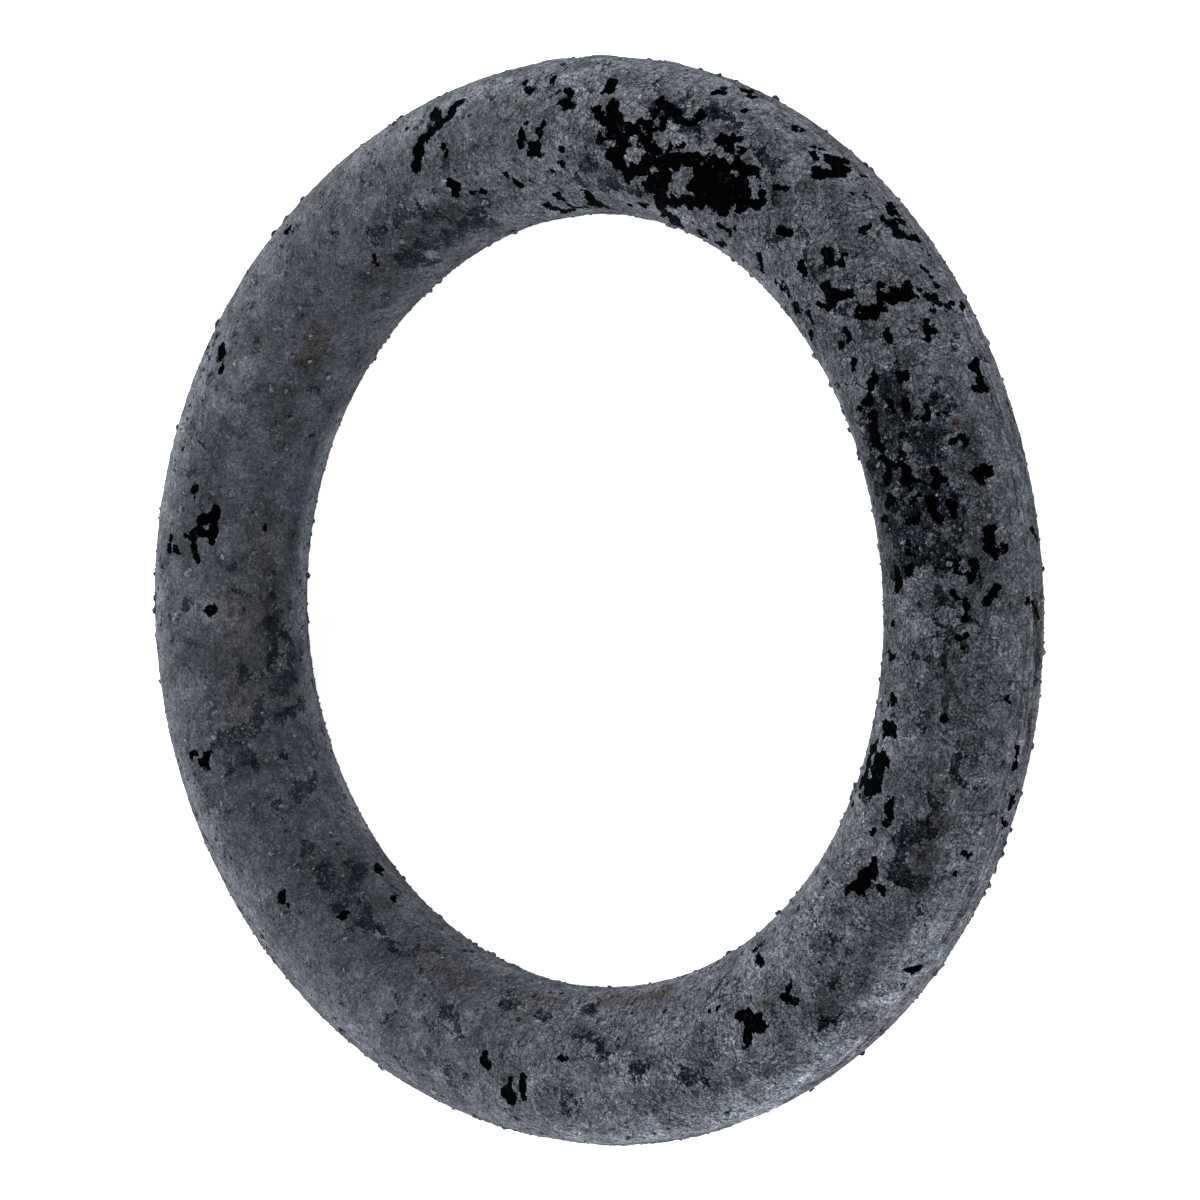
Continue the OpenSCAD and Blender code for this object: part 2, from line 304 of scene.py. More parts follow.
# Stretches where all the bloom is lighter, above zero, or darker, in the same form.
# Some are the bloom's own tone and some are painted light and shade: painted rim light
# low on the outer flank from ring angle 178 to 242, on the far side's outer top from ring
# angle 56 to 156 and on its inner underside from 60 to 124, and painted shade on the
# inner wall from ring angle 258 to 296.
TONE_AND_LIGHT_STROKES = (
    (258, 122, 296, 121, 0.40, -0.36), (30, 156, 74, 156, 0.50, -0.28),
    (8, 125, 16, 130, 0.35, -0.15), (276, 108, 332, 108, 0.50, -0.20),
    (30, 72, 150, 74, 0.70, 0.07), (268, 42, 286, 34, 0.26, -0.26),
    (18, 126, 34, 138, 0.26, -0.25), (128, 152, 162, 146, 0.55, -0.20),
    (140, 98, 162, 100, 0.40, 0.20), (56, 58, 156, 56, 0.38, 0.35),
    (206, 74, 232, 70, 0.30, 0.25), (218, 52, 240, 49, 0.36, -0.40),
    (178, 60, 204, 59, 0.30, -0.32), (200, 112, 228, 104, 0.60, 0.20),
    (200, 30, 214, 12, 0.40, 0.30), (205, 80, 315, 76, 1.30, -0.16),
    (194, 132, 214, 138, 0.40, -0.15), (242, 18, 290, 10, 0.40, -0.25),
    (236, 40, 345, 38, 0.50, -0.18), (345, 42, 26, 52, 0.45, 0.20),
    (62, 118, 108, 108, 0.50, 0.22), (170, 128, 184, 122, 0.40, -0.20),
    (176, 26, 196, 26, 0.30, 0.08), (178, 24, 226, 6, 0.30, 0.35), (222, 14, 242, 14, 0.26, 0.12),
    (296, -6, 306, -4, 0.20, 0.20), (60, 200, 124, 200, 0.34, 0.95),
    (322, 18, 356, 24, 0.30, 0.20), (340, 126, 350, 108, 0.36, -0.40),
    (10, 138, 60, 138, 0.34, -0.24), (348, 144, 358, 146, 0.40, -0.30),
    (68, 98, 82, 96, 0.34, -0.25), (86, 160, 112, 158, 0.36, -0.28),
    (186, 146, 196, 142, 0.30, -0.38), (228, 88, 234, 90, 0.30, -0.20),
    (250, -18, 290, -18, 0.30, -0.18), (8, 113, 22, 113, 0.30, 0.30),
    (57, 102, 62, 100, 0.30, 0.70), (88, 100, 92, 130, 0.38, 0.30),
    (98, 88, 102, 100, 0.34, 0.30), (196, 96, 204, 96, 0.30, 0.30), (194, 6, 206, 6, 0.26, 0.35),
    (278, 84, 294, 80, 0.50, -0.12), (198, 44, 224, 42, 0.24, -0.22),
    (270, 30, 292, 30, 0.18, -0.22), (256, 94, 264, 90, 0.24, -0.25),
    (278, 102, 292, 98, 0.24, -0.20), (158, 104, 162, 100, 0.24, 0.25),
    (66, 116, 72, 112, 0.24, 0.22), (88, 116, 92, 112, 0.24, 0.22),
    (350, 126, 4, 124, 0.24, -0.18), (126, 128, 132, 124, 0.24, -0.22),
    (16, 128, 24, 124, 0.24, -0.18), (306, 128, 314, 124, 0.24, -0.22),
    (6, 140, 14, 136, 0.24, -0.18), (86, 163, 94, 161, 0.22, -0.22),
    (46, 178, 84, 180, 0.26, -0.25), (217, 16, 223, 6, 0.20, -0.25),
)

# Patches on the sides that the camera doesn't face, drawn by chance from this seed: half
# the stroke's width in mm, at least and how much more, and the steps between its ends in
# degrees round the ring and round the section
HIDDEN_SEED = 11
HIDDEN_PATCHES = 70
HIDDEN_LEAST_WIDTH = 0.04
HIDDEN_MORE_WIDTH = 0.12
HIDDEN_RING_STEP = 0.8
HIDDEN_TUBE_STEP = 5

# Loose crumbs and grains of bloom standing on the ring: how many, and their sizes in mm.
# They are copies of a few lumps, each made this wide, deep and tall against its size, and
# joined so many at once to save time.
CRUMB_SEED = 23
CRUMBS = 1800
CRUMB_SIZES = (0.08, 0.23)
CRUMB_SEGMENTS = 8
GRAINS = 8000
GRAIN_SIZES = (0.04, 0.10)
GRAIN_SEGMENTS = 5
LUMP_SHAPES = 5
LUMP_SPANS = ((0.7, 1.2), (0.7, 1.2), (0.5, 0.8))
LUMP_SWELL = 0.7
JOIN_AT_ONCE = 150

# Lumps keep this far in mm from the bare patches' edges and from the floor, but a few
# stand in the patches, and near the rib there are half as many
CLEAR_OF_BARE = 0.06
CLEAR_OF_FLOOR = 0.15
INSIDE_BARE = -0.02
SHARE_ON_BARE = 0.03
SHARE_BY_RIB = 0.5

# The camera looks down at this elevation, rolled so that +X is up in the picture.
# The picture is 1200 pixels square, and the offsets move the ring in it.
PICTURE_PX = 1200
CAMERA_ELEVATION = 51.98
CAMERA_ROLL = -92.08
CAMERA_DISTANCE = 288.0
FOCAL_PX = 11160
RING_OFFSET_PX = (-9.2, 2.5)
SENSOR_MM = 36.0

# Side of each lamp and how far off it stands, in metres, then each lamp's name, azimuth,
# elevation and power in watts
LAMP_SIZE = 0.4
LAMP_DISTANCE = 0.6
LAMPS = (
    ("lamp_far_side", 180, 20, 9.7),
    ("lamp_top_of_picture", 90, 12, 6.2),
    ("lamp_foot_of_picture", 270, 3, 5.0),
    ("lamp_near_corner", 315, 3, 6.2),
)

# The floor: its side in metres, how far in mm it lies under the ring, its grey and its glow
FLOOR_SIZE = 3
FLOOR_DROP = 0.02
FLOOR_GREY = (0.8, 0.8, 0.8)
FLOOR_GLOW = 0.9

BARE_BLACK = (0.0006, 0.0007, 0.0008)
BLOOM_GREY = (0.0745, 0.0815, 0.0955)
THIN_BLUE = (0.0132, 0.0157, 0.0213)
PLATE_GREY = (0.105, 0.114, 0.128)
STAIN_BROWN = (0.055, 0.040, 0.025)

# Sizes in mm of what the finish is made of
DUST_SIZE = 0.06
DRIFT_SIZE = 0.7
GRANULE_SIZE = 0.13
RAGGED_SIZE = 0.4
BITE_SIZE = 0.27
SCALE_SIZE = 0.55
SCALE_SWIRL = 0.25
SMALL_SCALE_SIZE = 0.24
SMALL_SCALE_SWIRL = 0.12
BUMP_H = 0.02
BUMP_STRENGTH = 0.4

# Powder: how much dust and drifts raise it, how far crevices and dots lower it, and how
# its height turns into brightness
DUST_SHARE = 2.2
DRIFT_SHARE = 1.5
CREVICE_SHARE = 0.28
DOT_SHARE = 0.34
HEIGHT_CONTRAST = 0.8
MEAN_BRIGHTNESS = 0.605
BRIGHTNESS_POWER = 2.2

# Tone that the smooth bloom settles at, and how light the scales' rims and how dark the
# cracks between them are
SMOOTH_TONE = 0.55
RIM_LIGHTER = 0.55
CRACK_DARKER = 0.50


# Shape of the ring

def deselect_all():
    """Leave edit mode and select nothing."""
    if bpy.context.object and bpy.context.object.mode != "OBJECT":
        bpy.ops.object.mode_set(mode="OBJECT")
    bpy.ops.object.select_all(action="DESELECT")


def crowded_angle(step):
    """Angle of a section point in radians, with the points drawn in to the two ribs."""
    even = 2 * math.pi * step / SECTION_POINTS
    near_rib = math.exp(-((math.sin(even) / RIB_REACH) ** 2))
    return even - RIB_CROWDING * math.sin(2 * even) * near_rib


def spun_ring():
    """A section circle, its points moved towards the ribs, spun once round the axis."""
    deselect_all()
    bpy.ops.mesh.primitive_circle_add(vertices=SECTION_POINTS, radius=SECTION_R * MM)
    ring = bpy.context.object
    ring.name = "bloomed_ring"
    for step, vertex in enumerate(ring.data.vertices):
        angle = crowded_angle(step)
        across = RING_R + SECTION_R * math.cos(angle)
        vertex.co = Vector((across, 0, SECTION_R + SECTION_R * math.sin(angle))) * MM
    bpy.ops.object.mode_set(mode="EDIT")
    bpy.ops.mesh.select_all(action="SELECT")
    bpy.ops.mesh.spin(steps=RING_STEPS, angle=2 * math.pi, center=(0, 0, 0), axis=(0, 0, 1))
    bpy.ops.mesh.select_all(action="SELECT")
    bpy.ops.mesh.remove_doubles(threshold=0.002 * MM)
    bpy.ops.mesh.normals_make_consistent(inside=False)
    bpy.ops.object.mode_set(mode="OBJECT")
    bpy.ops.object.shade_smooth()
    return ring


def mesh_points(obj):
    """The mesh's points in mm, one row each."""
    flat = np.empty(len(obj.data.vertices) * 3)
    obj.data.vertices.foreach_get("co", flat)
    return flat.reshape(-1, 3) / MM


def set_mesh_points(obj, points):
    """Move the mesh's points to these places in mm."""
    obj.data.vertices.foreach_set("co", (points * MM).ravel())
    obj.data.update()


def ring_and_tube(points):
    """Ring and tube angles of points on the plain ring, in degrees."""
    across = np.hypot(points[:, 0], points[:, 1]) - RING_R
    ring = np.degrees(np.arctan2(points[:, 1], points[:, 0])) % 360
    tube = np.degrees(np.arctan2(points[:, 2] - SECTION_R, across))
    return ring, tube


def centreline_radius(ring):
    """Radius of the ring's centreline at a ring angle, out of round as it has set."""
    radius = RING_R + 0 * ring
    for lobes, cosine, sine in OUT_OF_ROUND:
        turn = np.radians(lobes * ring)
        radius = radius + cosine * np.cos(turn) + sine * np.sin(turn)
    return radius


def place(ring, tube, out):
    """Points at these angles, this far out from the middle of the section."""
    across = centreline_radius(ring) + out * np.cos(np.radians(tube))
    height = SECTION_R + out * np.sin(np.radians(tube))
    turn = np.radians(ring)
    return np.stack((across * np.cos(turn), across * np.sin(turn), height), axis=-1)


def wrapped(angle):
    """The same angle in degrees, from -180 to 180."""
    return (angle + 180) % 360 - 180


def stroke_distance(ring, tube, stroke):
    """Distance in mm over the surface from places on it to the middle of a stroke."""
    ring_0, tube_0, ring_1, tube_1 = stroke[:4]
    mid_tube = math.radians((tube_0 + tube_1) / 2)
    ring_mm = math.radians(RING_R + SECTION_R * math.cos(mid_tube))
    tube_mm = math.radians(SECTION_R)
    along = np.array((wrapped(ring_1 - ring_0) * ring_mm, wrapped(tube_1 - tube_0) * tube_mm))
    x = wrapped(ring - ring_0) * ring_mm
    y = wrapped(tube - tube_0) * tube_mm
    share = np.clip((x * along[0] + y * along[1]) / max(along @ along, 1e-6), 0, 1)
    return np.hypot(x - share * along[0], y - share * along[1])


def patch_field(ring, tube, strokes):
    """Signed distance in mm to the edge of the strokes, below zero inside them."""
    field = np.full(len(ring), FIELD_REACH)
    for stroke in strokes:
        field = np.minimum(field, stroke_distance(ring, tube, stroke) - stroke[4])
    return np.maximum(field, -FIELD_REACH)


def soft_field(ring, tube, strokes):
    """From 0 to 1: how strongly the soft strokes cover each place."""
    field = np.zeros(len(ring))
    for stroke in strokes:
        reach = stroke_distance(ring, tube, stroke) / (stroke[4] * 2)
        field = np.maximum(field, stroke[5] * smooth_step(1, 0.1, reach))
    return field


def tone_field(ring, tube, strokes):
    """Change of tone at each place, fading out at twice each stroke's half-width."""
    field = np.zeros(len(ring))
    for stroke in strokes:
        reach = stroke_distance(ring, tube, stroke) / (stroke[4] * 2)
        field = field + stroke[5] * smooth_step(1, 0, reach)
    return field


def hidden_strokes():
    """Bare patches of one to three short strokes each, on the sides turned from the camera."""
    chance = np.random.default_rng(HIDDEN_SEED)
    to_camera = camera_axes()[2]
    strokes = []
    while len(strokes) < HIDDEN_PATCHES * 2:
        ring, tube = chance.uniform(0, 360), chance.uniform(-180, 180)
        spot = np.array([ring]), np.array([tube])
        outward = place(*spot, 1.0) - place(*spot, 0.0)
        faces_camera = outward[0] @ to_camera > -0.05
        on_floor = -100 < tube < -80
        if faces_camera or on_floor:
            continue
        width = HIDDEN_LEAST_WIDTH + HIDDEN_MORE_WIDTH * chance.random() ** 2
        for _ in range(chance.integers(1, 4)):
            next_ring = ring + chance.normal(0, HIDDEN_RING_STEP)
            next_tube = tube + chance.normal(0, HIDDEN_TUBE_STEP)
            strokes.append((ring, tube, next_ring, next_tube, width))
            ring, tube = next_ring, next_tube
            width = width * chance.uniform(0.6, 1.1)
    return strokes


def camera_axes():
    """Unit vectors right, up and back of the camera, in the ring's frame."""
    lift, roll = math.radians(CAMERA_ELEVATION), math.radians(CAMERA_ROLL)
    back = np.array((0, -math.cos(lift), math.sin(lift)))
    level = np.array((1.0, 0, 0))
    upright = np.array((0, math.sin(lift), math.cos(lift)))
    right = math.cos(roll) * level + math.sin(roll) * upright
    up = -math.sin(roll) * level + math.cos(roll) * upright
    return right, up, back


def noise_at(points, size, shift):
    """Soft noise from about -1 to 1 at points in mm, with lumps of this size."""
    moved = points / size + shift
    return np.array([noise.noise(Vector(p)) for p in moved])


def pebbles_at(points, size, shift):
    """From 0 between pebbles to 1 at the middle of each."""
    moved = points / size + shift
    nearest = np.array([noise.voronoi(Vector(p))[0][0] for p in moved])
    return 1 - np.clip(nearest / 0.6, 0, 1)


def rib_lift(tube, wear):
    """Height of the moulded rib over the section, half buried in bloom, unevenly along the ring."""
    height = SECTION_R * np.sin(np.radians(tube))
    crest = np.exp(-((height / (RIB_W / 2)) ** 4))
    return RIB_H * crest * np.clip(RIB_SHOWS + RIB_UNEVEN * wear, RIB_LEAST, 1)


def store(obj, name, values):
    """Keep one value for each point of the mesh, for its material to read."""
    layer = obj.data.attributes.new(name, "FLOAT", "POINT")
    layer.data.foreach_set("value", values.astype(np.float32))


def smooth_step(low, high, values):
    """A soft step from 0 at the low value to 1 at the high one, which may be the smaller."""
    share = np.clip((values - low) / (high - low), 0, 1)
    return share * share * (3 - 2 * share)


def on_far_side(ring):
    """0 on the side near the camera and 1 on the far side."""
    return smooth_step(-0.5, 0.7, np.sin(np.radians(ring)))


def grit_at(ring, tube):
    """How crusty the bloom is: 1 on top of the near side, and SMOOTHEST on the far side."""
    flank = smooth_step(40, 0, tube) * 0.5 + smooth_step(98, 122, tube) * 0.4
    return 1 - (1 - SMOOTHEST) * np.maximum(on_far_side(ring), flank)


def bloomed_ring():
    """The ring with its bloom, and how far each of its points is from a bare patch."""
    ring_piece = spun_ring()
    plain = mesh_points(ring_piece)
    ring, tube = ring_and_tube(plain)
    bare = patch_field(ring, tube, list(BARE) + hidden_strokes())
    bare = np.maximum(bare, -patch_field(ring, tube, ISLANDS))
    thin = soft_field(ring, tube, THIN)
    thick = soft_field(ring, tube, THICK)
    stain = soft_field(ring, tube, STAINS)
    lumps = noise_at(plain, LUMP_SIZE, 5)
    grains = noise_at(plain, GRAIN_SIZE, 40)
    pebbles = pebbles_at(plain, PEBBLE_SIZE, 17)
    tone_and_painted_light = CLOUD_SWING * sum(noise_at(plain, *kind) for kind in CLOUD_NOISE)
    # the tone strokes add painted light and shade to the bloom's own wandering tone
    tone_and_painted_light = tone_and_painted_light + 1 + tone_field(ring, tube, TONE_AND_LIGHT_STROKES)
    mottle = MOTTLE * sum((noise_at(plain, *kind) for kind in MOTTLE_NOISE), 1)
    above_seam = plain[:, 2] - SECTION_R
    streaked = np.exp(-((above_seam + STREAKS_DOWN) / STREAKS_REACH) ** 2)
    streaked = streaked * (1 - 0.7 * on_far_side(ring))
    cover = smooth_step(-0.04, 0.05, bare)
    depth = BLOOM_T + LUMP_H * lumps + PEBBLE_H * pebbles + GRAIN_H * grains
    depth = np.maximum(depth * (1 - 0.7 * thin) + PLATE_H * thick, LEAST_BLOOM)
    out = SECTION_R + rib_lift(tube, lumps) + cover * depth
    shaped = place(ring, tube, out)
    shaped[:, 2] = np.maximum(shaped[:, 2], 0)
    set_mesh_points(ring_piece, shaped)
    store(ring_piece, "bare_distance", bare)
    store(ring_piece, "thin", thin + mottle)
    store(ring_piece, "bloom_tone_and_painted_light", tone_and_painted_light)
    store(ring_piece, "thick", thick)
    store(ring_piece, "stain", stain)
    store(ring_piece, "streaked", streaked)
    store(ring_piece, "grit", grit_at(ring, tube))
    return ring_piece, bare


# Crumbs and grains

def lump_shape(segments, seed):
    """One irregular lump, about one unit across, to be copied."""
    deselect_all()
    bpy.ops.mesh.primitive_uv_sphere_add(segments=segments, ring_count=segments // 2 + 1, radius=0.5)
    lump = bpy.context.object
    bpy.ops.object.shade_smooth()
    for vertex in lump.data.vertices:
        swell = noise.noise(vertex.co * 2.2 + Vector((seed, 0, seed)))
        vertex.co = vertex.co * (1 + LUMP_SWELL * swell)
    lump.data.attributes.new("tone", "FLOAT", "POINT")
    return lump


def joined(pieces):
    """These pieces as one mesh."""
    deselect_all()
    for piece in pieces:
        piece.select_set(True)
    bpy.context.view_layer.objects.active = pieces[0]
    bpy.ops.object.join()
    return pieces[0]


def placed_copy(shape, spot, outward, size, chance):
    """A copy of a lump of this size in mm, turned by chance and standing on the ring."""
    turn = Matrix.Rotation(chance.uniform(0, 2 * math.pi), 4, "Z")
    stand = outward.to_track_quat("Z", "Y").to_matrix().to_4x4()
    wide, deep, tall = (chance.uniform(*span) for span in LUMP_SPANS)
    squash = Matrix.Diagonal((wide, deep, tall, 1))
    lump = shape.copy()
    lump.data = shape.data.copy()
    lump.data.transform(Matrix.Translation(spot) @ stand @ turn @ squash @ Matrix.Scale(size * MM, 4))
    for vertex in lump.data.vertices:
        vertex.co.z = max(vertex.co.z, 0)
    shade = chance.random()
    lump.data.attributes["tone"].data.foreach_set("value", [shade] * len(lump.data.vertices))
    bpy.context.scene.collection.objects.link(lump)
    return lump


def scatter(name, ring_piece, bare, count, segments, sizes, chance):
    """Lumps of these sizes in mm, most of them standing where bloom is, in one mesh."""
    shapes = [lump_shape(segments, seed) for seed in range(LUMP_SHAPES)]
    points = mesh_points(ring_piece)
    _, tube = ring_and_tube(points)
    off_floor = points[:, 2] > CLEAR_OF_FLOOR
    weight = np.where((bare > CLEAR_OF_BARE) & off_floor, 1.0, 0.0)
    weight *= np.where(np.abs(np.sin(np.radians(tube))) < RIB_REACH, SHARE_BY_RIB, 1.0)
    weight[(bare < INSIDE_BARE) & off_floor] = SHARE_ON_BARE
    picked = chance.choice(len(points), size=count, p=weight / weight.sum())
    lumps, batches = [], []
    for index in picked:
        vertex = ring_piece.data.vertices[index]
        size = sizes[0] + (sizes[1] - sizes[0]) * chance.random() ** 3
        shape = shapes[chance.integers(len(shapes))]
        lumps.append(placed_copy(shape, vertex.co, vertex.normal.copy(), size, chance))
        if len(lumps) == JOIN_AT_ONCE:
            batches.append(joined(lumps))
            lumps = []
    for shape in shapes:
        bpy.data.objects.remove(shape)
    piece = joined(batches + lumps)
    piece.name = name
    return piece


# Materials

def add_node(tree, kind, inputs=None, **settings):
    """A node with these settings; an input is a value or another node's socket."""
    made = tree.nodes.new(kind)
    for name, value in settings.items():
        setattr(made, name, value)
    for key, value in (inputs or {}).items():
        if isinstance(value, bpy.types.NodeSocket):
            tree.links.new(value, made.inputs[key])
        else:
            made.inputs[key].default_value = value
    return made


def reckon(tree, operation, first, second=0.0, third=0.0):
    """The result of one sum in the material."""
    inputs = {0: first, 1: second, 2: third}
    return add_node(tree, "ShaderNodeMath", inputs, operation=operation).outputs[0]


def ramp(tree, value, low, high, to_low=0.0, to_high=1.0):
    """A soft step of a value, from to_low at low to to_high at high."""
    inputs = {"Value": value, "From Min": low, "From Max": high, "To Min": to_low, "To Max": to_high}
    made = add_node(tree, "ShaderNodeMapRange", inputs, interpolation_type="SMOOTHSTEP")
    return made.outputs["Result"]


def noise_socket(tree, place_mm, size, detail=0.0, roughness=0.5):
    """Soft noise from 0 to 1 with lumps of this size in mm."""
    inputs = {"Vector": place_mm, "Scale": 1 / size, "Detail": detail, "Roughness": roughness}
    return add_node(tree, "ShaderNodeTexNoise", inputs).outputs["Fac"]


def cells_node(tree, place_mm, size, **settings):
    """Cells of this size in mm, each round a point placed by chance."""
    return add_node(tree, "ShaderNodeTexVoronoi", {"Vector": place_mm, "Scale": 1 / size}, **settings)


def mix_colours(tree, share, first, second):
    """The first colour at share 0 and the second at share 1."""
    made = add_node(tree, "ShaderNodeMix", data_type="RGBA")
    for key, value in (("Factor", share), ("A", first), ("B", second)):
        socket = [s for s in made.inputs if s.name == key and s.enabled][0]
        if isinstance(value, bpy.types.NodeSocket):
            tree.links.new(value, socket)
        elif key == "Factor":
            socket.default_value = value
        else:
            socket.default_value = (*value, 1)
    return [s for s in made.outputs if s.enabled][0]


def scaled_colour(tree, colour, tone):
    """A colour, or any other three numbers, times one number."""
    made = add_node(tree, "ShaderNodeVectorMath", {0: colour, "Scale": tone}, operation="SCALE")
    return made.outputs["Vector"]


def attribute(tree, name):
    """What store kept on the mesh under this name."""
    return add_node(tree, "ShaderNodeAttribute", attribute_name=name).outputs["Fac"]


def place_in_mm(tree):
    coordinates = add_node(tree, "ShaderNodeTexCoord").outputs["Object"]
    return scaled_colour(tree, coordinates, 1 / MM)


def powder_group():
    """Tone and height of caked powder: granules with pitted middles, and fine dust on them."""
    tree = bpy.data.node_groups.new("caked_powder", "ShaderNodeTree")
    tree.interface.new_socket("Place", in_out="INPUT", socket_type="NodeSocketVector")
    tree.interface.new_socket("Tone", in_out="OUTPUT", socket_type="NodeSocketFloat")
    tree.interface.new_socket("Height", in_out="OUTPUT", socket_type="NodeSocketFloat")
    place_mm = add_node(tree, "NodeGroupInput").outputs["Place"]
    taken = add_node(tree, "NodeGroupOutput")
    dust = noise_socket(tree, place_mm, DUST_SIZE, 1.0, 1.0)
    drifts = noise_socket(tree, place_mm, DRIFT_SIZE, 2.0, 1.0)
    granules = cells_node(tree, place_mm, GRANULE_SIZE)
    size_chance = add_node(tree, "ShaderNodeSeparateColor", {"Color": granules.outputs["Color"]})
    crevices = ramp(tree, granules.outputs["Distance"], 0.38, 0.65)
    dots = ramp(tree, granules.outputs["Distance"], 0.08, 0.26, 1.0, 0.0)
    dots = reckon(tree, "MULTIPLY", dots, ramp(tree, size_chance.outputs[0], 0.3, 0.6))
    height = reckon(tree, "MULTIPLY_ADD", dust, DUST_SHARE, -0.6)
    height = reckon(tree, "MULTIPLY_ADD", drifts, DRIFT_SHARE, reckon(tree, "SUBTRACT", height, 0.7))
    height = reckon(tree, "MULTIPLY_ADD", crevices, -CREVICE_SHARE, height)
    height = reckon(tree, "MULTIPLY_ADD", dots, -DOT_SHARE, height)
    brightness = reckon(tree, "MULTIPLY_ADD", height, HEIGHT_CONTRAST, MEAN_BRIGHTNESS)
    tone = reckon(tree, "POWER", reckon(tree, "MAXIMUM", brightness, 0.05), BRIGHTNESS_POWER)
    tree.links.new(tone, taken.inputs["Tone"])
    tree.links.new(height, taken.inputs["Height"])
    return tree


def use_powder(tree, group, place_mm):
    """The tone and the height of the powder, in a material's own nodes."""
    made = add_node(tree, "ShaderNodeGroup", {"Place": place_mm}, node_tree=group)
    return made.outputs["Tone"], made.outputs["Height"]


def new_material(name):
    """A matt material with a slight sheen at its edges, as powder has."""
    material = bpy.data.materials.new(name)
    material.use_nodes = True
    shader = material.node_tree.nodes["Principled BSDF"]
    shader.inputs["Specular IOR Level"].default_value = 0.0
    shader.inputs["Roughness"].default_value = 0.9
    shader.inputs["Sheen Weight"].default_value = 0.02
    shader.inputs["Sheen Roughness"].default_value = 0.3
    return material, material.node_tree, shader


def set_bump(tree, shader, height):
    inputs = {"Height": height, "Strength": BUMP_STRENGTH, "Distance": BUMP_H * MM}
    bump = add_node(tree, "ShaderNodeBump", inputs)
    tree.links.new(bump.outputs["Normal"], shader.inputs["Normal"])


def streaks_beside_rib(tree, place_mm):
    """Fine lines along the ring near its parting rib, from about -0.5 to 0.5."""
    stretched = add_node(tree, "ShaderNodeMapping", {"Vector": place_mm, "Scale": (0.7, 0.7, 12)})
    lines = noise_socket(tree, stretched.outputs["Vector"], 1.0, 1.0, 0.8)
    return reckon(tree, "MULTIPLY", reckon(tree, "SUBTRACT", lines, 0.5), attribute(tree, "streaked"))


def crusted_scales(tree, place_mm, size, swirl_size, bare_share, strength):
    """Domed scales of crust: distance from their middles, chance values, and pale-rimmed edges."""
    swirl = add_node(tree, "ShaderNodeTexNoise", {"Vector": place_mm, "Scale": 1 / swirl_size})
    inputs = {0: swirl.outputs["Color"], 1: (swirl_size * 0.9,) * 3, 2: place_mm}
    swirled = add_node(tree, "ShaderNodeVectorMath", inputs, operation="MULTIPLY_ADD").outputs["Vector"]
    scales = cells_node(tree, swirled, size)
    gaps = cells_node(tree, swirled, size, feature="DISTANCE_TO_EDGE").outputs["Distance"]
    chance = add_node(tree, "ShaderNodeSeparateColor", {"Color": scales.outputs["Color"]})
    where = noise_socket(tree, place_mm, size * 1.7, 1.0)
    shown = reckon(tree, "MULTIPLY", ramp(tree, where, bare_share, bare_share + 0.1), strength)
    crack = ramp(tree, gaps, 0.01, 0.025 / size, 1.0, 0.0)
    rim = reckon(tree, "SUBTRACT", ramp(tree, gaps, 0.09 / size, 0.02 / size), crack)
    lines = reckon(tree, "MULTIPLY_ADD", rim, RIM_LIGHTER, 1.0)
    lines = reckon(tree, "MULTIPLY_ADD", crack, -CRACK_DARKER, lines)
    lines = reckon(tree, "MULTIPLY_ADD", reckon(tree, "SUBTRACT", lines, 1.0), shown, 1.0)
    return scales.outputs["Distance"], chance.outputs[0], chance.outputs[1], lines


def rib_foot_painted_shade(tree, place_mm):
    """A dark line of painted shade, broken in places, where each side of the parting rib meets the
    section.
    """
    height = add_node(tree, "ShaderNodeSeparateXYZ", {"Vector": place_mm}).outputs["Z"]
    from_seam = reckon(tree, "ABSOLUTE", reckon(tree, "SUBTRACT", height, SECTION_R))
    from_foot = reckon(tree, "ABSOLUTE", reckon(tree, "SUBTRACT", from_seam, RIB_W * 0.75))
    line = ramp(tree, from_foot, 0.01, 0.04, 1.0, 0.0)
    broken = ramp(tree, noise_socket(tree, place_mm, 1.1, 2.0), 0.42, 0.58)
    return reckon(tree, "MULTIPLY", reckon(tree, "MULTIPLY", line, broken), attribute(tree, "streaked"))


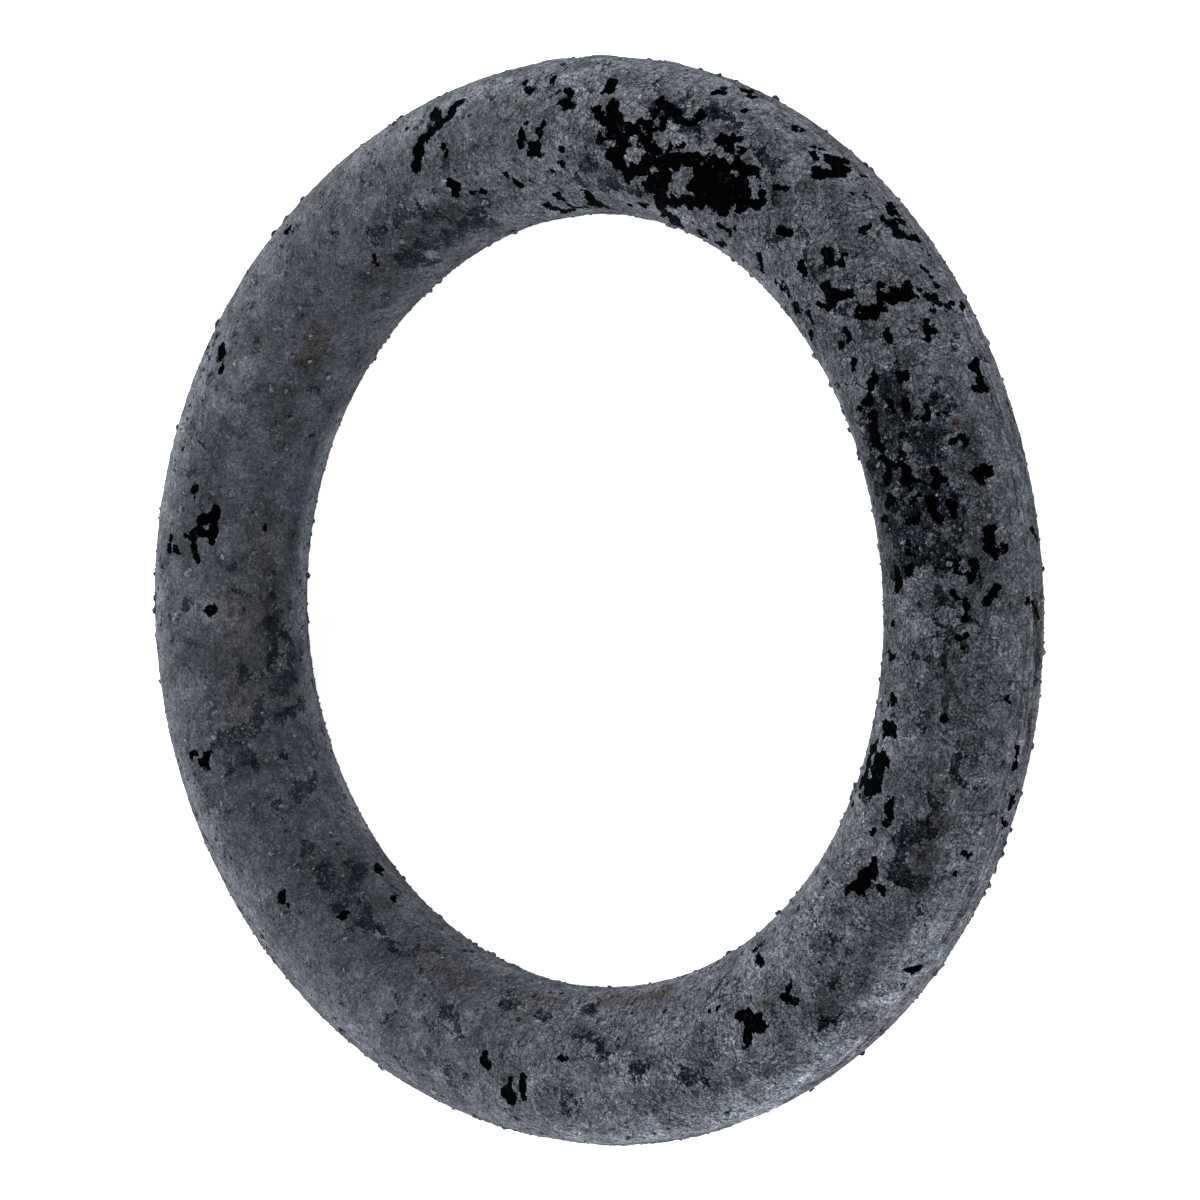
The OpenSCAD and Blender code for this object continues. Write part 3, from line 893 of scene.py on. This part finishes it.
def bloom_material(group):
    """Grey powdery crust over black rubber, worn thin in places and open at the bare patches."""
    material, tree, shader = new_material("bloomed_rubber")
    place_mm = place_in_mm(tree)
    thin = attribute(tree, "thin")
    grit = attribute(tree, "grit")
    tone, height = use_powder(tree, group, place_mm)
    above_smooth = reckon(tree, "SUBTRACT", tone, SMOOTH_TONE)
    tone = reckon(tree, "MULTIPLY_ADD", above_smooth, grit, SMOOTH_TONE)
    streaks = streaks_beside_rib(tree, place_mm)
    tone = reckon(tree, "MULTIPLY", tone, ramp(tree, streaks, -0.5, 0.5, 0.3, 1.7))
    # painted shade: a dark line where the rib meets the section darkens the tone there
    foot = rib_foot_painted_shade(tree, place_mm)
    tone = reckon(tree, "MULTIPLY", tone, ramp(tree, foot, 0.0, 1.0, 1.0, 0.45))
    height = reckon(tree, "MULTIPLY_ADD", streaks, 0.8, height)
    ragged = noise_socket(tree, place_mm, RAGGED_SIZE, 3.0, 0.6)

    # the bloom ends in small round bites round each bare patch
    bites = cells_node(tree, place_mm, BITE_SIZE)
    edge = reckon(tree, "MULTIPLY_ADD", bites.outputs["Distance"], 0.22, attribute(tree, "bare_distance"))
    edge = reckon(tree, "MULTIPLY_ADD", ragged, 0.20, edge)
    edge = reckon(tree, "MULTIPLY_ADD", height, 0.05, edge)
    bloom = ramp(tree, edge, 0.258, 0.278)

    # the crust stands in scales, large and small; where it is thin only some of them are left
    strength = ramp(tree, grit, SMOOTHEST, 1.0)
    sizes = (SCALE_SIZE, SCALE_SWIRL)
    middle, stands, scale_tone, lines = crusted_scales(tree, place_mm, *sizes, 0.44, strength)
    strength = reckon(tree, "MULTIPLY", strength, 0.6)
    sizes = (SMALL_SCALE_SIZE, SMALL_SCALE_SWIRL)
    _, _, small_tone, small_lines = crusted_scales(tree, place_mm, *sizes, 0.45, strength)
    lines = reckon(tree, "MULTIPLY", lines, small_lines)
    cover = reckon(tree, "MULTIPLY_ADD", middle, -1.0, 0.85)
    cover = reckon(tree, "MULTIPLY_ADD", stands, 0.4, cover)
    cover = reckon(tree, "MULTIPLY_ADD", height, 0.3, cover)
    cover = reckon(tree, "MULTIPLY_ADD", ragged, 0.4, cover)
    cover = reckon(tree, "MULTIPLY_ADD", thin, -1.1, cover)
    crust = ramp(tree, cover, 0.15, 0.35)
    crust = reckon(tree, "MAXIMUM", crust, ramp(tree, height, 0.25, 1.0, 0.0, 0.40))
    swing = reckon(tree, "MULTIPLY_ADD", thin, 0.6, 0.25)
    scale_tone = reckon(tree, "MULTIPLY_ADD", small_tone, 0.5, scale_tone)
    scale_tone = reckon(tree, "SUBTRACT", scale_tone, 0.75)
    scale_tone = reckon(tree, "MULTIPLY_ADD", scale_tone, swing, 1.0)

    colour = mix_colours(tree, attribute(tree, "thick"), BLOOM_GREY, PLATE_GREY)
    colour = mix_colours(tree, attribute(tree, "stain"), colour, STAIN_BROWN)
    colour = scaled_colour(tree, colour, lines)
    colour = scaled_colour(tree, colour, scale_tone)
    film = scaled_colour(tree, THIN_BLUE, ramp(tree, ragged, 0.3, 0.7, 0.5, 1.3))
    film = scaled_colour(tree, film, ramp(tree, grit, SMOOTHEST, 1.0, 1.9, 1.05))
    colour = mix_colours(tree, crust, film, colour)
    colour = scaled_colour(tree, colour, tone)
    # the stored tone, partly painted light and shade, scales the bloom's colour
    colour = scaled_colour(tree, colour, attribute(tree, "bloom_tone_and_painted_light"))
    specks = ramp(tree, height, 0.75, 1.1, 0.0, 0.7)
    bare = mix_colours(tree, specks, BARE_BLACK, THIN_BLUE)
    colour = mix_colours(tree, bloom, bare, colour)
    tree.links.new(colour, shader.inputs["Base Color"])
    set_bump(tree, shader, height)
    return material


def crumb_material(group):
    """The crumbs' powder: each crumb a little lighter or darker, and a few of them brown."""
    material, tree, shader = new_material("bloom_crumb")
    tone, height = use_powder(tree, group, place_in_mm(tree))
    brown = ramp(tree, attribute(tree, "tone"), 0.0, 0.08, 1.0, 0.0)
    lightness = ramp(tree, attribute(tree, "tone"), 0.1, 1.0, 0.7, 1.4)
    colour = mix_colours(tree, brown, BLOOM_GREY, STAIN_BROWN)
    colour = scaled_colour(tree, colour, reckon(tree, "MULTIPLY", tone, lightness))
    tree.links.new(colour, shader.inputs["Base Color"])
    set_bump(tree, shader, height)
    return material


# Studio

def studio_floor():
    """A pale floor that glows a little, so that it shows white in the picture."""
    deselect_all()
    bpy.ops.mesh.primitive_plane_add(size=FLOOR_SIZE, location=(0, 0, -FLOOR_DROP * MM))
    floor = bpy.context.object
    floor.name = "floor"
    bpy.ops.object.transform_apply(location=True, rotation=True, scale=True)
    material = bpy.data.materials.new("pale_floor")
    material.use_nodes = True
    shader = material.node_tree.nodes["Principled BSDF"]
    shader.inputs["Base Color"].default_value = (*FLOOR_GREY, 1)
    shader.inputs["Roughness"].default_value = 0.9
    shader.inputs["Emission Color"].default_value = (1, 1, 1, 1)
    shader.inputs["Emission Strength"].default_value = FLOOR_GLOW
    floor.data.materials.append(material)


def soft_light(name, azimuth, elevation, power):
    """A square lamp aimed at the ring. Azimuth 0 is -Y and 90 is +X."""
    lamp = bpy.data.lights.new(name, "AREA")
    lamp.shape = "SQUARE"
    lamp.size = LAMP_SIZE
    lamp.energy = power
    turn, lift = math.radians(azimuth), math.radians(elevation)
    level = math.cos(lift)
    back = Vector((math.sin(turn) * level, -math.cos(turn) * level, math.sin(lift)))
    holder = bpy.data.objects.new(name, lamp)
    holder.location = back * LAMP_DISTANCE
    holder.rotation_euler = back.to_track_quat("Z", "Y").to_euler()
    bpy.context.scene.collection.objects.link(holder)


def studio_lights():
    """The lamps, in a world that gives no light of its own."""
    world = bpy.data.worlds.new("studio")
    world.use_nodes = True
    world.node_tree.nodes["Background"].inputs["Strength"].default_value = 0
    bpy.context.scene.world = world
    for lamp in LAMPS:
        soft_light(*lamp)
    bpy.context.scene.view_settings.view_transform = "Standard"


def studio_camera():
    """The camera at the photograph's viewing angle, aimed so that the ring sits as it does there."""
    right, up, back = camera_axes()
    mm_per_px = CAMERA_DISTANCE / FOCAL_PX
    aim = np.array((0, 0, SECTION_R))
    aim = aim - right * RING_OFFSET_PX[0] * mm_per_px + up * RING_OFFSET_PX[1] * mm_per_px
    spot = aim + back * CAMERA_DISTANCE
    data = bpy.data.cameras.new("camera")
    data.sensor_width = SENSOR_MM
    data.lens = FOCAL_PX / PICTURE_PX * SENSOR_MM
    data.clip_start = 0.01
    camera = bpy.data.objects.new("camera", data)
    turned = Matrix((right, up, back)).transposed().to_4x4()
    camera.matrix_world = Matrix.Translation(Vector(spot) * MM) @ turned
    bpy.context.scene.collection.objects.link(camera)
    bpy.context.scene.camera = camera


studio_camera()
studio_lights()
studio_floor()

powder = powder_group()
bloom = bloom_material(powder)
crumb = crumb_material(powder)

ring_piece, bare = bloomed_ring()
ring_piece.data.materials.append(bloom)
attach(ring_piece, "root")
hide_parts("o_ring")

chance = np.random.default_rng(CRUMB_SEED)
crumbs = scatter("bloom_crumbs", ring_piece, bare, CRUMBS, CRUMB_SEGMENTS, CRUMB_SIZES, chance)
grains = scatter("bloom_grains", ring_piece, bare, GRAINS, GRAIN_SEGMENTS, GRAIN_SIZES, chance)
for piece in (crumbs, grains):
    piece.data.materials.append(crumb)
    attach(piece, "root")
